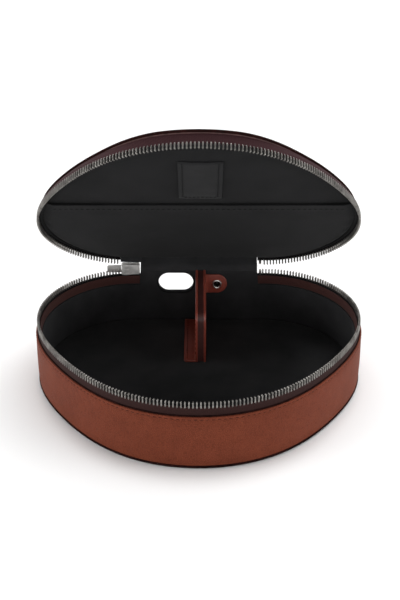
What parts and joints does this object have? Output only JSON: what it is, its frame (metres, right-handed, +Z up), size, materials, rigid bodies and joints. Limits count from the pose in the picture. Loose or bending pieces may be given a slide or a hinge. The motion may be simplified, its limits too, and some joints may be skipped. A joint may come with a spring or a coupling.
{
  "type": "headphone carrying case",
  "caption": "Zipped leather clamshell carrying case for over-ear headphones, with a hinged lid, black lining, a magnetic leather divider and a cable slot.",
  "frame": {"origin": "middle of the base's flat underside", "axes": "+X to the right across the width, +Y to the hinge at the back, +Z up"},
  "size_m": [0.2156, 0.1961, 0.1842],
  "materials": {
    "tan_leather": "semi-matt full-grain leather",
    "brown_leather": "semi-matt leather",
    "dark_edge": "painted leather edge, satin",
    "dark_tape": "woven zipper tape",
    "black_lining": "brushed microfibre",
    "grey_board": "matt board",
    "nickel": "nickel plated, satin",
    "magnet_steel": "plated magnet",
    "black_trim": "matt"
  },
  "bodies": {
    "base": {"base_bottom_leather": "tan_leather", "base_edge_binding": "dark_edge", "base_wall_leather": "tan_leather", "base_floor_board": "grey_board", "base_wall_board": "grey_board", "base_floor_pad": "black_lining", "base_wall_lining": "black_lining", "base_rim_facing": "brown_leather", "cable_slot_rim": "black_trim", "base_zipper_tape": "dark_tape", "base_zipper_teeth": "nickel", "base_zipper_stop": "nickel", "divider_left_leather": "brown_leather", "divider_right_leather": "brown_leather", "divider_core": "grey_board", "divider_magnet_front": "magnet_steel", "divider_magnet_rear": "magnet_steel", "divider_rivet": "nickel", "hinge_spine": "tan_leather", "hinge_lining": "black_lining"},
    "lid": {"lid_outer_leather": "tan_leather", "lid_edge_binding": "dark_edge", "lid_board": "grey_board", "lid_lining": "black_lining", "lid_pocket_panel": "black_lining", "lid_accessory_sleeve": "black_lining", "lid_zipper_tape": "dark_tape", "lid_zipper_teeth": "nickel", "lid_zipper_stop": "nickel", "lid_lining_border": "black_lining"},
    "zip_slider": {"slider_body": "nickel", "slider_bridge": "nickel"},
    "pull": {"pull_tab": "nickel"}
  },
  "joints": [
    {"name": "lid_hinge", "type": "hinge", "parent": "base", "child": "lid", "pos_m": [0, 0.0955, 0.041], "axis": [-1, 0, 0], "range_deg": [-45, 55], "deforming": ["hinge_spine", "hinge_lining"]},
    {"name": "slider_travel", "type": "hinge", "parent": "base", "child": "zip_slider", "pos_m": [-0.046, 0.03769, 0.0448], "axis": [0, 0, 1], "range_deg": [0, 22]},
    {"name": "pull_swing", "type": "hinge", "parent": "zip_slider", "child": "pull", "pos_m": [-0.05392, 0.09418, 0.0448], "axis": [0, 0, -1], "range_deg": [0, 90]}
  ]
}
